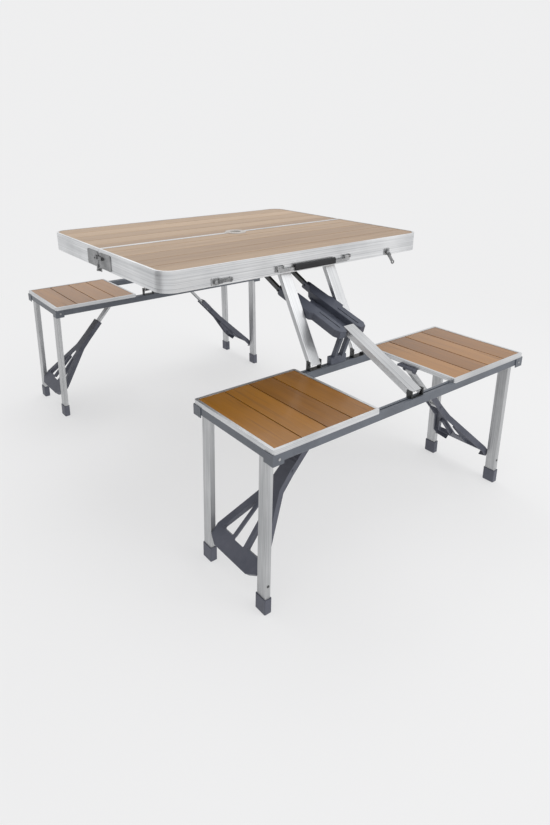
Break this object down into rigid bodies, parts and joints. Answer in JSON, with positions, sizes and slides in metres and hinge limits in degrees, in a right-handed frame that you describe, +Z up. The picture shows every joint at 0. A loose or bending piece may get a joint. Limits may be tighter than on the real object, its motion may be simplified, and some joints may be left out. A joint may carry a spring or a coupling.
{
  "type": "folding picnic table",
  "caption": "Folding picnic table of aluminium with a wooden slat top in two hinged halves, four slat seats on two benches, folding legs with moulded braces, and a carry handle.",
  "frame": {"origin": "on the ground, under the middle of the table top", "axes": "+X along the table top, +Y across it from the bench on the handle side to the other bench, +Z up"},
  "size_m": [0.8746, 1.4188, 0.6646],
  "materials": {
    "aluminium": "satin anodised, drawn",
    "wood_top": "oiled bamboo slats, satin",
    "wood_seat": "lacquered bamboo slats, glossy",
    "board": "dark stained board",
    "rail_grey": "dark grey powder coat",
    "grey_plastic": "moulded, dark grey",
    "collar_plastic": "moulded, light grey",
    "black_grip": "moulded, black",
    "dark_steel": "dark grey paint",
    "steel": "zinc plated"
  },
  "bodies": {
    "front_side": {"bench_pins_front": "steel", "bench_rails_front": "rail_grey", "brace_blocks_front": "grey_plastic", "corner_caps_front": "grey_plastic", "rim_fittings_front": "steel", "seam_hinge_front": "steel", "seat_boards_front": "board", "seat_frames_front": "aluminium", "seat_slats_front": "wood_seat", "stay_arms_front": "dark_steel", "stay_bar_front": "aluminium", "stay_link_front": "grey_plastic", "stay_shell_front": "grey_plastic", "strut_and_stay_clips_front": "steel", "struts_front": "aluminium", "table_board_front": "board", "table_rim_front": "aluminium", "table_slats_front": "wood_top", "umbrella_collar_front": "collar_plastic"},
    "back_side": {"bench_pins_back": "steel", "bench_rails_back": "rail_grey", "brace_blocks_back": "grey_plastic", "catch_plates_back": "steel", "corner_caps_back": "grey_plastic", "seam_hinge_back": "steel", "seat_boards_back": "board", "seat_frames_back": "aluminium", "seat_slats_back": "wood_seat", "stay_arms_back": "dark_steel", "stay_bar_back": "aluminium", "stay_link_back": "grey_plastic", "stay_shell_back": "grey_plastic", "strut_and_stay_clips_back": "steel", "struts_back": "aluminium", "table_board_back": "board", "table_rim_back": "aluminium", "table_slats_back": "wood_top", "umbrella_collar_back": "collar_plastic"},
    "legs_front_left": {"legs_front_left": "aluminium", "feet_front_left": "grey_plastic"},
    "brace_bar_front_left": {"brace_bar_front_left": "aluminium"},
    "brace_plate_front_left": {"brace_plate_front_left": "grey_plastic"},
    "legs_front_right": {"legs_front_right": "aluminium", "feet_front_right": "grey_plastic"},
    "brace_bar_front_right": {"brace_bar_front_right": "aluminium"},
    "brace_plate_front_right": {"brace_plate_front_right": "grey_plastic"},
    "legs_back_left": {"legs_back_left": "aluminium", "feet_back_left": "grey_plastic"},
    "brace_bar_back_left": {"brace_bar_back_left": "aluminium"},
    "brace_plate_back_left": {"brace_plate_back_left": "grey_plastic"},
    "legs_back_right": {"legs_back_right": "aluminium", "feet_back_right": "grey_plastic"},
    "brace_bar_back_right": {"brace_bar_back_right": "aluminium"},
    "brace_plate_back_right": {"brace_plate_back_right": "grey_plastic"},
    "handle": {"handle_strap": "steel", "handle_grip": "black_grip"},
    "latch_left": {"latch_left": "steel"},
    "latch_right": {"latch_right": "steel"},
    "seam_hook_left": {"seam_hook_left": "steel"},
    "seam_hook_right": {"seam_hook_right": "steel"}
  },
  "joints": [
    {"name": "seam_fold", "type": "hinge", "parent": "front_side", "child": "back_side", "pos_m": [0, 0, 0.6092], "axis": [-1, 0, 0], "range_deg": [0, 60]},
    {"name": "legs_front_left_fold", "type": "hinge", "parent": "front_side", "child": "legs_front_left", "pos_m": [-0.4036, -0.5686, 0.3775], "axis": [0, -1, 0], "range_deg": [0, 87.5]},
    {"name": "brace_bar_front_left_turn", "type": "hinge", "parent": "front_side", "child": "brace_bar_front_left", "pos_m": [-0.137, -0.5686, 0.374], "axis": [0, -1, 0], "range_deg": [-48.03, 0]},
    {"name": "brace_knee_front_left_turn", "type": "hinge", "parent": "brace_bar_front_left", "child": "brace_plate_front_left", "pos_m": [-0.26163, -0.5686, 0.23808], "axis": [0, -1, 0], "range_deg": [0, 176.74]},
    {"name": "legs_front_right_fold", "type": "hinge", "parent": "front_side", "child": "legs_front_right", "pos_m": [0.4036, -0.5686, 0.3775], "axis": [0, 1, 0], "range_deg": [0, 87.5]},
    {"name": "brace_bar_front_right_turn", "type": "hinge", "parent": "front_side", "child": "brace_bar_front_right", "pos_m": [0.137, -0.5686, 0.374], "axis": [0, 1, 0], "range_deg": [-48.03, 0]},
    {"name": "brace_knee_front_right_turn", "type": "hinge", "parent": "brace_bar_front_right", "child": "brace_plate_front_right", "pos_m": [0.26163, -0.5686, 0.23808], "axis": [0, 1, 0], "range_deg": [0, 176.74]},
    {"name": "legs_back_left_fold", "type": "hinge", "parent": "back_side", "child": "legs_back_left", "pos_m": [-0.4036, 0.5686, 0.3775], "axis": [0, -1, 0], "range_deg": [0, 87.5]},
    {"name": "brace_bar_back_left_turn", "type": "hinge", "parent": "back_side", "child": "brace_bar_back_left", "pos_m": [-0.137, 0.5686, 0.374], "axis": [0, -1, 0], "range_deg": [-48.03, 0]},
    {"name": "brace_knee_back_left_turn", "type": "hinge", "parent": "brace_bar_back_left", "child": "brace_plate_back_left", "pos_m": [-0.26163, 0.5686, 0.23808], "axis": [0, -1, 0], "range_deg": [0, 176.74]},
    {"name": "legs_back_right_fold", "type": "hinge", "parent": "back_side", "child": "legs_back_right", "pos_m": [0.4036, 0.5686, 0.3775], "axis": [0, 1, 0], "range_deg": [0, 87.5]},
    {"name": "brace_bar_back_right_turn", "type": "hinge", "parent": "back_side", "child": "brace_bar_back_right", "pos_m": [0.137, 0.5686, 0.374], "axis": [0, 1, 0], "range_deg": [-48.03, 0]},
    {"name": "brace_knee_back_right_turn", "type": "hinge", "parent": "brace_bar_back_right", "child": "brace_plate_back_right", "pos_m": [0.26163, 0.5686, 0.23808], "axis": [0, 1, 0], "range_deg": [0, 176.74]},
    {"name": "handle_swing", "type": "hinge", "parent": "front_side", "child": "handle", "pos_m": [0.01, -0.3404, 0.6326], "axis": [-1, 0, 0], "range_deg": [0, 90]},
    {"name": "latch_left_turn", "type": "hinge", "parent": "front_side", "child": "latch_left", "pos_m": [-0.293, -0.3382, 0.624], "axis": [0, 1, 0], "range_deg": [-90, 90]},
    {"name": "latch_right_turn", "type": "hinge", "parent": "front_side", "child": "latch_right", "pos_m": [0.286, -0.3382, 0.624], "axis": [0, 1, 0], "range_deg": [-90, 90]},
    {"name": "seam_hook_left_lift", "type": "hinge", "parent": "front_side", "child": "seam_hook_left", "pos_m": [-0.4307, -0.022, 0.64], "axis": [1, 0, 0], "range_deg": [0, 100]},
    {"name": "seam_hook_right_lift", "type": "hinge", "parent": "front_side", "child": "seam_hook_right", "pos_m": [0.4307, -0.022, 0.64], "axis": [1, 0, 0], "range_deg": [0, 100]}
  ],
  "couplings": [
    {"joint": "brace_bar_front_left_turn", "follows": "legs_front_left_fold", "ratio": -0.54552},
    {"joint": "brace_knee_front_left_turn", "follows": "legs_front_left_fold", "ratio": 2.013},
    {"joint": "brace_bar_front_right_turn", "follows": "legs_front_right_fold", "ratio": -0.54552},
    {"joint": "brace_knee_front_right_turn", "follows": "legs_front_right_fold", "ratio": 2.013},
    {"joint": "brace_bar_back_left_turn", "follows": "legs_back_left_fold", "ratio": -0.54552},
    {"joint": "brace_knee_back_left_turn", "follows": "legs_back_left_fold", "ratio": 2.013},
    {"joint": "brace_bar_back_right_turn", "follows": "legs_back_right_fold", "ratio": -0.54552},
    {"joint": "brace_knee_back_right_turn", "follows": "legs_back_right_fold", "ratio": 2.013}
  ]
}
